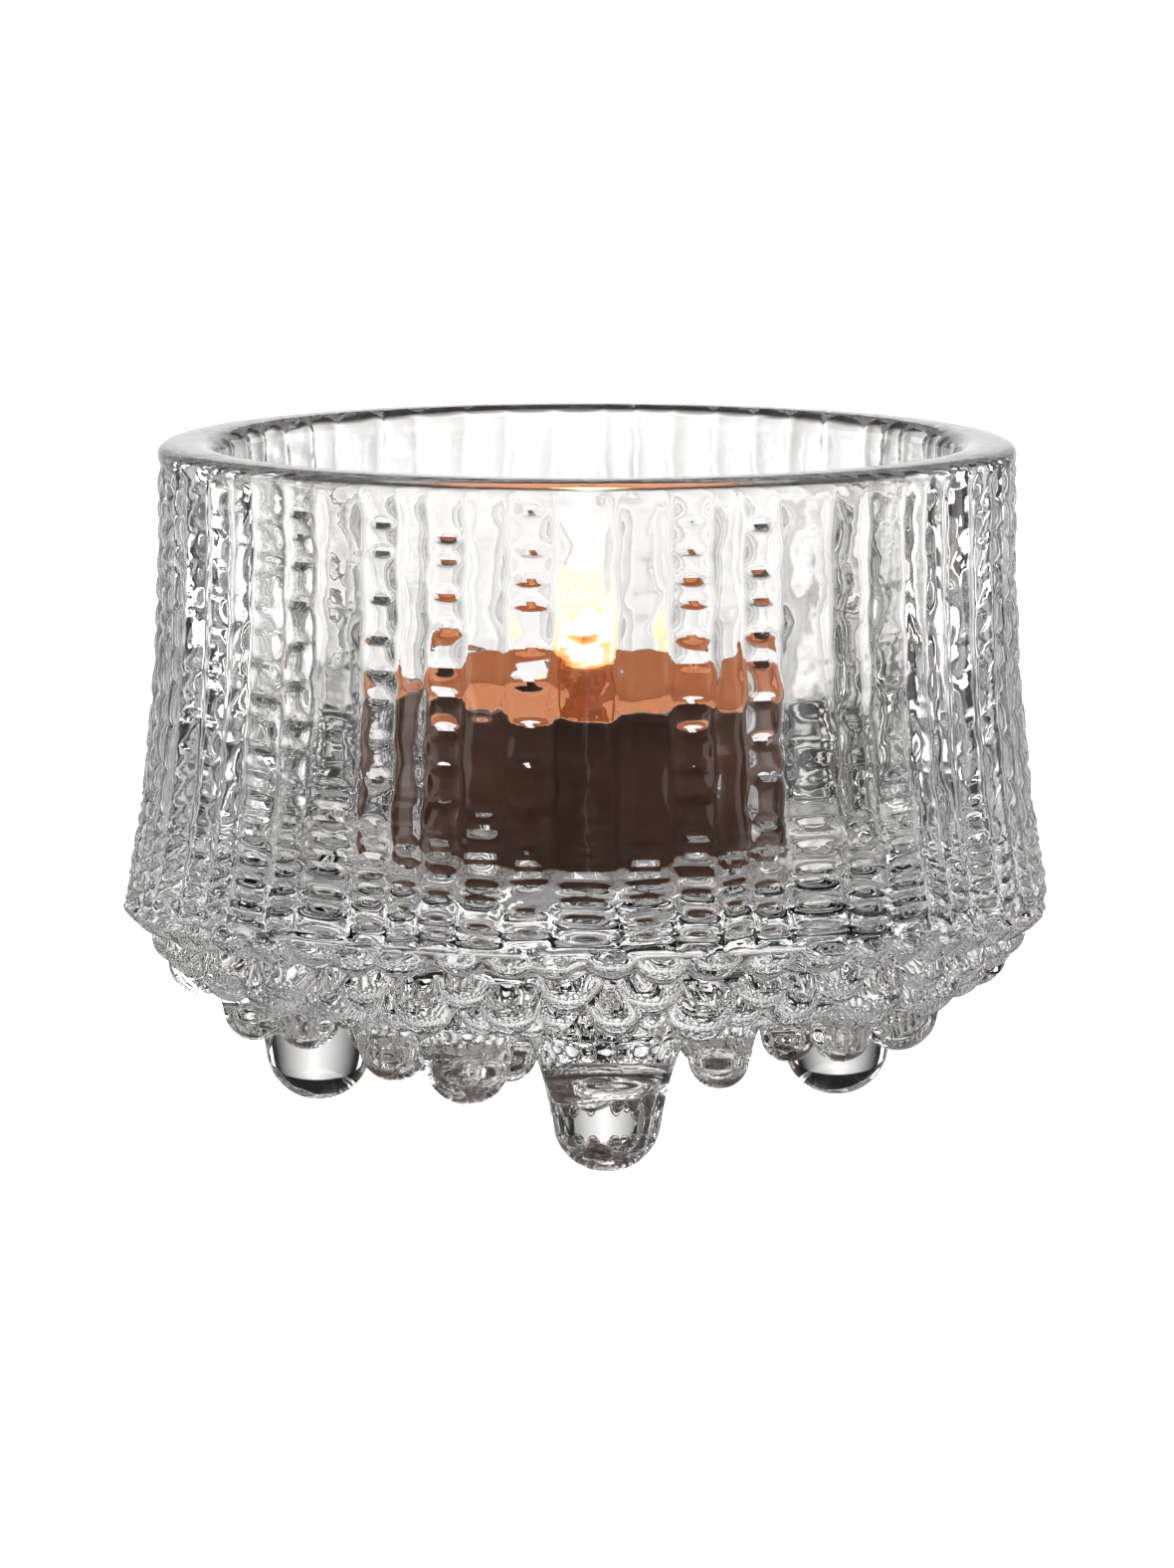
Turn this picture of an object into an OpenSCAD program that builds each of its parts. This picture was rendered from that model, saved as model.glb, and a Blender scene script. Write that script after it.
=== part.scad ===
// Tealight holder: a pressed clear glass bowl with ribbed walls, a beaded underside and three drop
// feet, holding one tealight. The tealight is a drawn metal cup, a wax puck and a wick in its sustainer.
// Millimetres. +Z is up, and the origin is on the table under the middle of the bowl.

/* [Glass bowl] */
// Height from the table to the top of the rim
holder_h = 65; // [62:1:70]
// Outer diameter over the ribs, just under the rim
rim_d = 81.2; // [79:0.2:83]
// Outer diameter at the shoulder ridge, the widest place
shoulder_d = 88.2; // [87:0.2:92]
// Height of the shoulder ridge
shoulder_z = 21.5; // [20.5:0.5:23]
// Height of the underside at its middle, between the drops
underside_z = 10.4; // [9.8:0.1:11]

/* [Cavity] */
// Inner diameter at the rim
cavity_d = 69.6; // [68:0.2:71]
// Inner diameter where the wall meets the corner round
cavity_low_d = 66; // [62:0.5:67]
// Height of the inner floor that the tealight stands on
floor_z = 24; // [22:0.5:25]
// Radius of the round between the wall and the floor
corner_r = 5; // [3:0.5:7]

/* [Glass relief] */
// Number of upright ribs round the wall
rib_count = 60; // [40:2:66]
// How far the ribs stand out of the grooves between them
rib_h = 0.8; // [0.5:0.1:1.1]
// Height of the plain band at the rim
rim_band_h = 3; // [2:0.5:5]
// Radius of the beads under the shoulder
bead_r = 2; // [1.7:0.1:2.1]

/* [Feet] */
// Radius of the circle that the three feet stand on
foot_ring_r = 29; // [27:0.5:31]
// Turn of the front foot from the -Y direction, in degrees
foot_turn = 3.5; // [-10:0.5:10]
// Radius of a foot's round tip
foot_tip_r = 5.4; // [4.8:0.1:5.8]
// Radius of the small ground flat that a foot rests on
foot_flat_r = 1.4; // [1:0.1:2]

/* [Tealight] */
// Outer diameter of the tealight cup
cup_d = 38; // [37:0.5:39]
// Height of the tealight cup
cup_h = 16; // [15:0.5:18]
// Sheet thickness of the cup
cup_t = 0.3; // [0.2:0.05:0.5]
// Height of the wax puck
wax_h = 12; // [10:0.5:13.5]
// Diameter of the wick
wick_d = 1.6; // [1.2:0.1:2]
// How far the wick stands out of the wax
wick_out = 8; // [5:0.5:10]
// Diameter of the sustainer's disc
sustainer_d = 15; // [12:0.5:18]

/* [Hidden] */
$fn = 96;

rim_r = rim_d / 2;
shoulder_r = shoulder_d / 2;
cavity_r = cavity_d / 2;
cavity_low_r = cavity_low_d / 2;
lip_r = (rim_r - cavity_r) / 2;          // the rim is a full round
band_z = holder_h - rim_band_h;          // the ribs stop here
rib_top_z = band_z + 0.4;                // and run a little way into the band
rib_low_z = shoulder_z + 1.6;
groove_low_z = shoulder_z + 0.9;         // below this the wall turns out to the shoulder
wall_power = 2.5;                        // how late the wall flares on its way down
profile_steps = 8;
round_steps = 8;
rib_root = 1.6;                          // how deep a rib's root sits in the wall
rib_share = 0.74;                        // part of the pitch that a rib fills, the grooves have the rest
rib_share_change = 0.1;                  // how much that part differs from rib to rib
rib_drift = 0.12;                        // how far a rib stands from its even place, in pitches
rib_full = 0.82;                         // a rib's mean height as a part of rib_h
rib_full_change = 0.12;                  // how much that height differs from rib to rib
ring_turn = 0.3;                         // turn of the inner drops in their rings, in steps of each ring
flare_share = 0.4;                       // how far a drop's stem widens, in radii of its tip
bead_sink = 0.6;                         // how far a bead's centre lies inside the underside
drop_root = 6;                           // how far a drop's stem runs up into the glass

// The underside is a row of plain bands: each point is [radius, height] of an edge between two bands
UNDERSIDE = [[0, underside_z], [26, underside_z + 0.3], [32.8, underside_z + 1.5],
             [37.2, underside_z + 3.8], [40.9, underside_z + 6.6], [shoulder_r - 0.1, shoulder_z - 0.3]];
// One row of beads along the middle of each of the three outer bands: the number of beads
BEAD_COUNTS = [44, 50, 54];
// The short drops after each foot: [turn from the foot, ring radius, tip radius, height of the tip]
SHORT_DROPS = [[20, 30, 3.3, 6.6], [43, 32.5, 3.1, 9], [62, 32, 3, 9.6], [80, 30, 3.6, 7.5],
               [95, 30, 4.1, 5.8]];
// Rings of drops further in: [ring radius, number of drops, tip radius, height of the tips]
DROP_RINGS = [[20.4, 12, 2.6, 6.6], [13.2, 8, 2.7, 6.2], [6, 4, 2.5, 6.8]];

seat_gap = 0.05;                         // air under a loose piece that stands in another
loose_fit = 0.3;                         // radial air round the puck
cup_z = floor_z + seat_gap;
lip_w = 0.7;                             // width of the cup's turned-out lip
lip_t = 0.6;                             // height of that lip
cup_corner = 1;
wax_z = cup_z + cup_t + seat_gap;
wax_r = cup_d / 2 - cup_t - loose_fit;
sustainer_t = 0.3;
neck_r = wick_d / 2 + 0.5;               // outer radius of the sustainer's crimped neck
neck_h = 5;

// A repeatable value from -1 to 1, so that neighbours differ as they do in hand-cut moulds
function vary(i, k = 0) = sin(i * 137.5 + k * 71);

// Outer radius of the wall over its ribs at height z
function wall_r(z) =
    rim_r + (shoulder_r - rim_r) * pow(max(0, (band_z - z) / (band_z - shoulder_z)), wall_power);

// Height of the underside at radius r
function under_z(r) = lookup(r, UNDERSIDE);

// Points of an arc about [x, y], from angle a to angle b
function arc(x, y, r, a, b, n = round_steps) =
    [for (i = [0:n]) let (t = a + (b - a) * i / n) [x + r * cos(t), y + r * sin(t)]];

// The bowl without its relief: rim, grooved wall, shoulder, underside and cavity
module vessel() {
    lip = arc(cavity_r + lip_r, holder_h - lip_r, lip_r, 180, 0, 2 * round_steps);
    groove_top_z = band_z - rib_h;
    band = [[rim_r, band_z], [rim_r - rib_h, groove_top_z]];
    wall = [for (i = [1:profile_steps - 1])
        let (z = groove_top_z + (groove_low_z - groove_top_z) * i / profile_steps) [wall_r(z) - rib_h, z]];
    shoulder = [[wall_r(groove_low_z) - rib_h, groove_low_z], [shoulder_r - 0.1, shoulder_z + 0.4],
                [shoulder_r, shoulder_z]];
    under = [for (i = [len(UNDERSIDE) - 1:-1:0]) UNDERSIDE[i]];
    corner = arc(cavity_low_r - corner_r, floor_z + corner_r, corner_r, 270, 360);
    rotate_extrude() polygon(concat(lip, band, wall, shoulder, under, [[0, floor_z]], corner));
}

// One rib: a strip of the wall's shape, from the rim band to the shoulder, that spans an angle
module rib(width, height) {
    inner = [for (i = [0:profile_steps])
        let (z = rib_top_z + (rib_low_z - rib_top_z) * i / profile_steps) [wall_r(z) - rib_root, z]];
    outer = [for (i = [profile_steps:-1:0])
        let (z = rib_top_z + (rib_low_z - rib_top_z) * i / profile_steps)
        [wall_r(z) - rib_h + height, z]];
    rotate_extrude(angle = width) polygon(concat(outer, inner));
}

module wall_ribs() {
    pitch = 360 / rib_count;
    for (i = [0:rib_count - 1])
        rotate(i * pitch + rib_drift * pitch * vary(i))
            rib(pitch * (rib_share + rib_share_change * vary(i, 1)),
                rib_h * (rib_full + rib_full_change * vary(i, 2)));
}

// One row of round beads on the middle of the band between the edges a and b
module bead_row(a, b, count) {
    middle = (a + b) / 2;
    inward = [a[1] - b[1], b[0] - a[0]] / norm(b - a);
    centre = middle + bead_sink * inward;
    for (i = [0:count - 1])
        rotate(i * 360 / count)
            translate([centre[0], 0, centre[1]])
                sphere(r = bead_r);
}

// A hanging drop whose tip is at the origin: a round tip on a stem that widens upwards. A flat of
// radius flat_r is ground on the tip if it isn't 0.
module drop(tip_r, stem_h, flat_r = 0) {
    tip_cut = asin(flat_r / tip_r);
    centre_z = tip_r * cos(tip_cut);
    flare = tip_r * flare_share;
    tip = arc(0, centre_z, tip_r, -90 + tip_cut, 0, 2 * round_steps);
    stem = [[tip_r + flare, stem_h], [0, stem_h]];
    rotate_extrude() polygon(concat(flat_r > 0 ? [[0, 0]] : [], tip, stem));
}

module feet() {
    for (i = [0:2])
        rotate(-90 + foot_turn + i * 120)
            translate([foot_ring_r, 0, 0])
                drop(foot_tip_r, under_z(foot_ring_r) + drop_root / 2, foot_flat_r);
}

// The short drops hang unevenly between each pair of feet, the same way each time
module short_drops() {
    for (i = [0:2], d = SHORT_DROPS)
        rotate(-90 + foot_turn + i * 120 + d[0])
            translate([d[1], 0, d[3]])
                drop(d[2], under_z(d[1]) + drop_root - d[3]);
}

module inner_drops() {
    for (ring = DROP_RINGS, i = [0:ring[1] - 1])
        rotate((i + ring_turn) * 360 / ring[1])
            translate([ring[0], 0, ring[3]])
                drop(ring[2], under_z(ring[0]) + drop_root - ring[3]);
}

// The bowl is one pressed piece of glass
module glass_holder() {
    color([0.9, 0.93, 0.94, 0.4]) {
        vessel();
        wall_ribs();
        for (i = [0:len(BEAD_COUNTS) - 1])
            bead_row(UNDERSIDE[i + 2], UNDERSIDE[i + 3], BEAD_COUNTS[i]);
        feet();
        short_drops();
        inner_drops();
    }
}

// Drawn sheet metal cup with a small corner round and a turned-out lip
module tealight_cup() {
    r = cup_d / 2;
    outside = concat([[0, 0]], arc(r - cup_corner, cup_corner, cup_corner, -90, 0, 6),
                     [[r, cup_h - lip_t], [r + lip_w, cup_h - lip_t], [r + lip_w, cup_h]]);
    inside = concat([[r - cup_t, cup_h]],
                    arc(r - cup_corner, cup_corner, cup_corner - cup_t, 0, -90, 6), [[0, cup_t]]);
    color([0.2, 0.13, 0.1])
        translate([0, 0, cup_z])
            rotate_extrude() polygon(concat(outside, inside));
}

// The sustainer and the wick stand on the cup's floor, and the puck is cast round them
module sustainer_shape() {
    cylinder(d = sustainer_d, h = sustainer_t);
    cylinder(r = neck_r, h = sustainer_t + neck_h);
}

module wax_puck() {
    bevel = 1.2;
    outline = [[0, 0], [wax_r - bevel, 0], [wax_r, bevel], [wax_r, wax_h], [0, wax_h]];
    color([0.85, 0.45, 0.25])
        translate([0, 0, wax_z])
            difference() {
                rotate_extrude() polygon(outline);
                sustainer_shape();
                cylinder(d = wick_d, h = wax_h + 1);
            }
}

module wick_sustainer() {
    color([0.75, 0.75, 0.77])
        translate([0, 0, wax_z])
            difference() {
                sustainer_shape();
                translate([0, 0, -1])
                    cylinder(d = wick_d, h = neck_h + 3);
            }
}

// Braided wick, from the cup's floor up through the neck and the wax
module wick() {
    char_h = 0.8;
    color([0.12, 0.1, 0.09])
        translate([0, 0, wax_z]) {
            cylinder(d = wick_d, h = wax_h + wick_out - char_h);
            translate([0, 0, wax_h + wick_out - char_h])
                cylinder(d1 = wick_d, d2 = wick_d * 0.5, h = char_h);
        }
}

glass_holder();
tealight_cup();
wax_puck();
wick_sustainer();
wick();
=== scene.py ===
import math

import bmesh
import bpy
import numpy as np
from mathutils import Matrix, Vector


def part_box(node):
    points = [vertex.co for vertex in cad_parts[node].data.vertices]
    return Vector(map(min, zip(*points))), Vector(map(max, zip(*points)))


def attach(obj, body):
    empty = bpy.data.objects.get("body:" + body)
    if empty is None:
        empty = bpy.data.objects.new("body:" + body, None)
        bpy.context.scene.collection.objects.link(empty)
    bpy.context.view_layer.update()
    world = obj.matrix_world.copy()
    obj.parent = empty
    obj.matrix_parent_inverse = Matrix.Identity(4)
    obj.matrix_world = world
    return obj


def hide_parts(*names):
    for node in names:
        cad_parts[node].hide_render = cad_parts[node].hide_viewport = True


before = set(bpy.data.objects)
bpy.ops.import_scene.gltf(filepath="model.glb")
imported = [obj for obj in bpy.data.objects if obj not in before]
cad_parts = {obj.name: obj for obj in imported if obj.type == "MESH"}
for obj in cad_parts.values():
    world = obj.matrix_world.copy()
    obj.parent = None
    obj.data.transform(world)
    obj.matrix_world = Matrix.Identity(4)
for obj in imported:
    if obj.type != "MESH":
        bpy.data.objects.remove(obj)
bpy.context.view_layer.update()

# Shapes are worked out in millimetres, in the part's own frame, and turned into metres when a mesh is made.
# Materials, the studio and the camera are in metres.
MM = 0.001
TURN = 2 * math.pi

# ---------------------------------------------------------------- sizes taken from the frame
glass_low, glass_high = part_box("glass_holder")
cup_low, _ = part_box("tealight_cup")
wax_low, wax_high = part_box("wax_puck")
wick_low, wick_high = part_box("wick")

HOLDER_H = glass_high.z / MM
SHOULDER_R = (glass_high.x - glass_low.x) / 2 / MM
FLOOR_Z = round(cup_low.z / MM)
CUP_SHEET = 0.3
CUP_MIDDLE_R = 18.9     # between the inside and the outside of the cup's wall

# ---------------------------------------------------------------- the bowl's profile
RIM_R = 40.6            # outside, just under the rim
CAVITY_R = 34.8         # inside, at the rim
CAVITY_LOW_R = 33.0     # inside, above the corner round
CORNER_R = 5.0
CORNER_STEPS = 8
CAVITY_STEPS = 24
FLOOR_RINGS_R = (3.0, 8.0, 14.0, 20.0, 24.5)        # rings of vertices on the floor inside
# The inside is a little uneven: the size of each wave, its number round, and its drift on the way up
CAVITY_WAVES = ((0.05, 5, 9), (0.04, 11, -17))
LIP_R = (RIM_R - CAVITY_R) / 2
# The rim is rounded over these heights. Under 1, a power makes the round squarer than an ellipse.
LIP_INNER_H, LIP_INNER_POWER = 2.0, 0.84
LIP_OUTER_H, LIP_OUTER_POWER = 1.4, 0.7
LIP_STEPS = 16
LIP_COARSE_STEPS = 6    # the first steps, on the inside, have half as many vertices
BAND_Z = HOLDER_H - LIP_OUTER_H
SHOULDER_Z = 21.5
WALL_POWER = 2.5        # how late the wall flares on its way down
UNDERSIDE_Z = 10.4      # the underside at its middle, between the drops

# ---------------------------------------------------------------- the bowl's ribs
RIBS = 60
RIB_WIDTHS = (0.66, 1.34)       # the narrowest and the widest rib, against the mean
RIB_H = 0.55                    # from the bottom of a groove to the top of a rib
RIB_SHARE = (0.86, 1.0)         # the part of RIB_H that a rib may have
# Across a rib: where its columns of vertices stand, and how high the rib is there
RIB_ACROSS = ((0.0, 0.0), (0.1, 0.36), (0.21, 0.8), (0.35, 0.98), (0.5, 1.0), (0.65, 0.98), (0.79, 0.8),
              (0.9, 0.36))
RIB_COLUMNS = np.array([place for place, _ in RIB_ACROSS])
RIB_HEIGHTS = np.array([height for _, height in RIB_ACROSS])
MIDDLE_POWER = 1.5              # how much the notches keep to the middle of a rib
# Slow waves down a rib, to the sides and in depth: the size and the length of each
SWAY_WAVES = ((0.13, 7.3), (0.07, 3.1))
DEPTH_WAVES = ((0.07, 11), (0.05, 4.7))
WRINKLE_SHAPE = (0.12, 0.4, 0.9, 1, 0.9, 0.4, 0.12)     # smooths random numbers into small uneven waves
WRINKLE_MARGIN = 4
# Ribs at the front that are notched into cells, and the plain ones among them, counted from +X
FRONT_LADDERS = (37, 39, 41, 43, 46, 48)
FRONT_PLAIN = (38, 40, 42, 44, 45, 47, 49, 50, 51, 52, 53, 54)
KINDS = ("plain", "ladder", "beads")
# The front, the sides and the back differ. A rib is at a side if it faces +Y or -Y by less than SIDE_FACING.
SIDE_FACING = 0.72
KIND_ODDS = dict(front=(0.7, 0.3, 0.0), side=(0.1, 0.3, 0.6), back=(0.85, 0.15, 0.0))
WRINKLE = dict(front=0.01, side=0.03, back=0.008)       # size of the small uneven waves down a rib
SLANT = dict(front=0.5, side=2.2, back=0.5)             # how far up or down a notch may run across its rib
CELL_EXTRA = dict(front=0.05, side=0.0, back=-0.2)      # how much deeper the notches are
GROOVE_SHARE = dict(front=0.66, side=1.0, back=0.8)     # how deep the grooves are, as a part of RIB_H
# Cells down a rib: how tall one may be, how wide the notch between two is, how deep that may be, and how much
# of the notch is the round of the cells on both sides of it
CELLS = dict(
    ladder=dict(tall=(2.3, 4.2), wide=0.42, deep=(0.3, 0.46), domed=0.15),
    beads=dict(tall=(1.8, 3.4), wide=0.4, deep=(0.35, 0.55), domed=0.75),
    pebbles=dict(tall=(1.15, 2.2), wide=0.3, deep=(0.55, 0.8), domed=0.66),
)
SMALLEST_CELL = 0.3
CELL_ROUND = 0.96       # under 1, the rounds of two cells don't meet in a sharp cut
PLAIN_DIP = 0.06        # how far a plain rib lies under the outline
PEBBLE_DIP = 0.04
PEBBLE_Z = 29.0         # about here and below, the ribs break up into pebbles
PEBBLE_TOP_Z = (PEBBLE_Z - 0.5, PEBBLE_Z + 5)      # a rib's pebbles end between these heights
PEBBLE_FRONT_RISE = 2.0     # the pebbles reach higher at the front
PEBBLE_LEAD = 1.5           # they start this far over their top
PEBBLE_BLEND = 4            # and take over from the rib's own notches in this height
FINE_STEP = 0.3         # ring spacing among the pebbles
WALL_STEP = 0.52        # ring spacing on the rest of the wall
BAND_GAP = 0.35         # the wall's top ring stays at least this far under the rim
# Under the rim the ribs sink a little and the grooves get shallower
FADE_START = 1.3        # how far under the band this starts
FADE_H = 0.9
FADE_DIP = 0.3          # how far the ribs sink
FADE_FILL = 1.6         # how fast the grooves fill up as the ribs sink
RIDGE_Z = 22.5          # the pebbles fade here into the ridge at the shoulder
RIDGE_EASE_H = 1.2      # the fade takes this height
RIDGE_DIP = 0.3         # and goes towards this depth under the outline
RIDGE_PLAIN = 0.7       # how much of their relief is gone there
RIDGE_FADE = 2.2        # and how far over the shoulder the rest goes

# ---------------------------------------------------------------- the bowl's lobes, drops and feet
# Rows of lobes under the shoulder: how far along the underside, number, turn in steps of the row, and half
# sizes across, along and out of the surface. The first row is shallow, and the next ones hang like grapes.
LOBE_ROWS = (
    dict(along=3.1, count=54, turn=0.0, half=(2.45, 2.1, 1.5)),
    dict(along=7.0, count=27, turn=0.0, half=(2.7, 2.6, 2.7)),
    dict(along=9.8, count=27, turn=0.5, half=(3.1, 3.4, 3.8)),
    dict(along=12.4, count=27, turn=0.0, half=(2.8, 2.6, 2.7)),
    dict(along=14.6, count=27, turn=0.5, half=(2.6, 2.4, 2.3)),
)
LOBE_DRIFT = 0.12       # how far a lobe may stand from its even place, in steps of its row
LOBE_SHIFT = 0.45       # and along the underside
LOBE_TILT = 0.4
LOBE_SIZE = (0.88, 1.1)
LOBE_STRETCH = (0.94, 1.06)
LOBE_TAPER = 0.22       # how much narrower a lobe gets towards its lower end
LOBE_BLEND = 6.0        # how crisply neighbouring lobes meet
LOBE_SINK = 0.9         # how far the plain underside lies inside the lobes' tops
LOBE_STEP = 0.4         # ring spacing among the lobes
LOBES_END = 16.4        # how far along the underside the lobes and the fine rings reach
PLAIN_STEP = 2.6        # ring spacing on the rest of the underside
POLE_GAP = 3            # from its last ring to its middle
# The plain rings have half as many vertices as the wall, a quarter inside HALF_R, and an eighth inside
# QUARTER_R
HALF_R, QUARTER_R = 24, 14
FOOT_TURN = -86.5       # the front foot, in degrees from +X
FOOT_RING_R = 29.0
FOOT_TIP_R = 5.0
FOOT_FLAT_R = 1.4
# The short drops after each foot: turn from the foot, ring radius, tip radius, height of the tip
SHORT_DROPS = ((20, 30.6, 2.9, 7.4), (43, 32.5, 3.0, 9.0), (62, 32.0, 3.0, 9.6), (80, 30.0, 3.4, 7.5),
               (95, 30.0, 3.9, 5.9))
SHORT_WITH_FEET = (1, 3)    # those that are joined in one step with the feet
# Rings of drops further in: ring radius, number of drops, tip radius, height of the tips
DROP_RINGS = ((20.4, 12, 2.6, 6.6), (13.2, 8, 2.7, 6.2), (6.0, 4, 2.5, 6.8))
DROP_RING_TURN = 0.3    # in steps of each ring
FOOT_FLARE, SHORT_FLARE, INNER_FLARE = 1.55, 1.4, 1.3       # a stem's upper end against its tip
FOOT_AROUND, SHORT_AROUND, INNER_AROUND = 64, 40, 16        # vertices round
OUTER_REACH, INNER_REACH = 0.8, 0.6     # how far over the underside's level a stem's flare ends
DROP_ROUND = 78         # how many degrees of a round end come before the stem
ROUND_STEPS, STEM_STEPS = 12, 8
STEM_EVEN, STEM_LATE = 0.55, 0.45       # the parts of the flare that come evenly and late
STEM_ROOT = 3           # how far a stem runs on into the glass
DROP_WOBBLE = (0.015, 0.01)     # how uneven a drop is round its axis, in parts of its radius
SHARP_ANGLE = math.radians(50)

# ---------------------------------------------------------------- the tealight
WAX_R = (wax_high.x - wax_low.x) / 2 / MM
WAX_AROUND = 96
WAX_BEVEL = 0.8
WAX_INSET = 0.07        # how far the soft rim of the wax stays under the puck's top
WAX_EDGE_R, WAX_EDGE_H = 0.5, 0.45      # the round between the top and the side
WAX_EDGE_RINGS = (0.25, 0.6, 1.0)       # where its rings of vertices lie, in parts of its width
POOL_DEPTH = 0.55       # how far the melted wax lies under that rim
POOL_R = 15.2           # the melted pool's radius, on average
POOL_FIRST_R, POOL_STEP = 0.5, 0.75     # the first ring of vertices round the wick, and the ring spacing
POOL_FINE_R, POOL_FINE_STEP = 13.5, 0.25        # the spacing is closer from here out
POOL_SOFT = 0.35        # how softly the pool's edge slopes
# The size of each wave in the pool's edge, its number round, and its turn
POOL_WAVES = ((0.5, 3, 1), (0.3, 7, 0), (0.15, 13, 2))
# The size of each wave in the soft rim, its number round, and its drift outwards
RIM_WAVES = ((0.04, 9, 1), (0.03, 17, -2))
CLIMB_H, CLIMB_R = 0.3, 1.6     # how far the melted wax climbs at the wick, and how wide
WICK_TOP = wick_high.z / MM
WICK_STEP = 0.25
STRANDS = 3             # the wick is a twist of cotton strands
STRAND_R = 0.43
STRAND_AROUND = 10
STRAND_UNEVEN = 0.06
WICK_TAKES = (wick_high.x - wick_low.x) / 2 / MM    # the radius that all strands share
TWIST_PITCH = 3.4
CHAR_H = 2.2            # the wick narrows over this height to its charred tip
TIP_SHARE = 0.45        # how wide the tip still is
WICK_LEAN = 0.45        # how far the tip leans over
FLAME_R = 1.5           # of the core
FLAME_BELOW, FLAME_ABOVE = 1.4, 5.4     # how far the core reaches from the wick's tip
FLAME_RINGS, FLAME_AROUND = 30, 32
FLAME_BELLY = 0.62      # under 1, the flame is widest below its middle
FLAME_ROUND = 0.85      # under 1, its sides are fuller
FLAME_TAPER = 0.35      # how much narrower it gets towards its tip
FLAME_LEAN, FLAME_BEND = 0.25, 2.5      # how far it leans over, and how much it bends
VEILS = 5               # thin shells round the flame's core
VEIL_WIDER, VEIL_LONGER = 0.65, 0.08    # from one shell to the next
CORE_STRENGTH = 9.0
VEIL_STRENGTH, VEIL_COVER = 1.15, 0.25

# ---------------------------------------------------------------- the studio
FLOOR_R, FLOOR_AROUND = 3.2, 96
# What the glass sees of the floor: the light of the surroundings from FLOOR_FAR out, which fades away towards
# FLOOR_NEAR, and at least FLOOR_DARK, or UNDER_BOWL out to UNDER_R
FLOOR_NEAR = 0.095
FLOOR_FAR = 0.16
FLOOR_DARK = 0.03
UNDER_BOWL = 0.26
UNDER_R, UNDER_FADE = 0.045, 0.01
# How bright the surroundings are by bearing, from 0 behind the bowl to 1 behind the camera, the same on both
# sides
BEARINGS = ((0.0, 0.78), (0.20, 0.78), (0.21, 0.02), (0.25, 0.02), (0.26, 1.5), (0.30, 1.5), (0.31, 0.02),
            (0.36, 0.02), (0.37, 1.4), (0.54, 1.4), (0.55, 0.02), (0.66, 0.02), (0.67, 1.2), (0.76, 1.2),
            (0.77, 0.12), (1.0, 0.12))
# Heights and bearings in the sky are parts of a direction of length 1
BELT_TOP = (0.24, 0.28)         # the panels end between these heights
ABOVE_BELT = 0.02               # how much of their light is left above them
BACKDROP_RISE = 0.07            # how much higher the panel behind the bowl reaches than the others
BACKDROP_BEARING = (0.6, 0.75)  # it rises while a direction's Y grows over this range
OVERHEAD = (0.86, 0.88)         # the overhead light starts between these heights
OVERHEAD_LEVEL = 1.9

CAMERA_AIM_Z, CAMERA_DISTANCE, CAMERA_TILT = 0.03213, 0.9276, 0.129     # metres, metres, radians
CAMERA_LENS, CAMERA_SENSOR = 224.285, 36.0
GLASS_BOUNCES, GLOSSY_BOUNCES = 40, 12
BRIGHTEST_INDIRECT = 6.0

rng = np.random.default_rng(11)


# ---------------------------------------------------------------- mesh tools
def ring_points(radius, z, theta):
    radius = np.broadcast_to(radius, theta.shape)
    z = np.broadcast_to(z, theta.shape)
    return np.stack([radius * np.cos(theta), radius * np.sin(theta), z], 1)


def stitch(a, b):
    """Faces between two rings of vertex numbers. Ring b has as many as ring a, half as many or twice."""
    if len(b) == len(a):
        return [(a[i - 1], a[i], b[i], b[i - 1]) for i in range(len(a))]
    if len(b) > len(a):
        return [tuple(reversed(f)) for f in stitch(b, a)]
    faces = []
    for i in range(len(b)):
        a0, a1, a2 = a[2 * i], a[2 * i + 1], a[(2 * i + 2) % len(a)]
        b0, b1 = b[i], b[(i + 1) % len(b)]
        faces += [(a0, a1, b0), (a1, b1, b0), (a1, a2, b1)]
    return faces


def closed_skin(rings, start, end):
    """A closed skin through the rings, with a pole at each end. start and end are points."""
    points = [np.array([start])] + rings + [np.array([end])]
    first = np.concatenate([[0], np.cumsum([len(p) for p in points])])
    ids = [list(range(first[i], first[i + 1])) for i in range(len(points))]
    faces = [(0, ids[1][i - 1], ids[1][i]) for i in range(len(ids[1]))]
    for a, b in zip(ids[1:-2], ids[2:-1]):
        faces += stitch(a, b)
    last, pole = ids[-2], ids[-1][0]
    faces += [(last[i - 1], last[i], pole) for i in range(len(last))]
    return np.concatenate(points), faces


def make_object(name, points, faces, smooth=True):
    mesh = bpy.data.meshes.new(name)
    mesh.from_pydata((np.asarray(points) * MM).tolist(), [], faces)
    mesh.validate()
    mesh.polygons.foreach_set("use_smooth", [smooth] * len(mesh.polygons))
    mesh.update()
    piece = bpy.data.objects.new(name, mesh)
    bpy.context.scene.collection.objects.link(piece)
    return piece


def outward(piece):
    """Turns every face outward."""
    bm = bmesh.new()
    bm.from_mesh(piece.data)
    bmesh.ops.recalc_face_normals(bm, faces=bm.faces)
    bm.to_mesh(piece.data)
    bm.free()
    return piece


def joined(name, shells):
    """One mesh of several closed skins."""
    points, faces = [], []
    for p, f in shells:
        base = len(points)
        points += list(p)
        faces += [tuple(base + i for i in face) for face in f]
    return outward(make_object(name, points, faces))


def unite(piece, other):
    """Joins the other piece's solids to the piece."""
    step = piece.modifiers.new("join", "BOOLEAN")
    step.operation = "UNION"
    step.solver = "MANIFOLD"
    step.object = other
    graph = bpy.context.evaluated_depsgraph_get()
    mesh = bpy.data.meshes.new_from_object(piece.evaluated_get(graph))
    piece.modifiers.clear()
    piece.data = mesh
    bpy.data.objects.remove(other)


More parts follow.
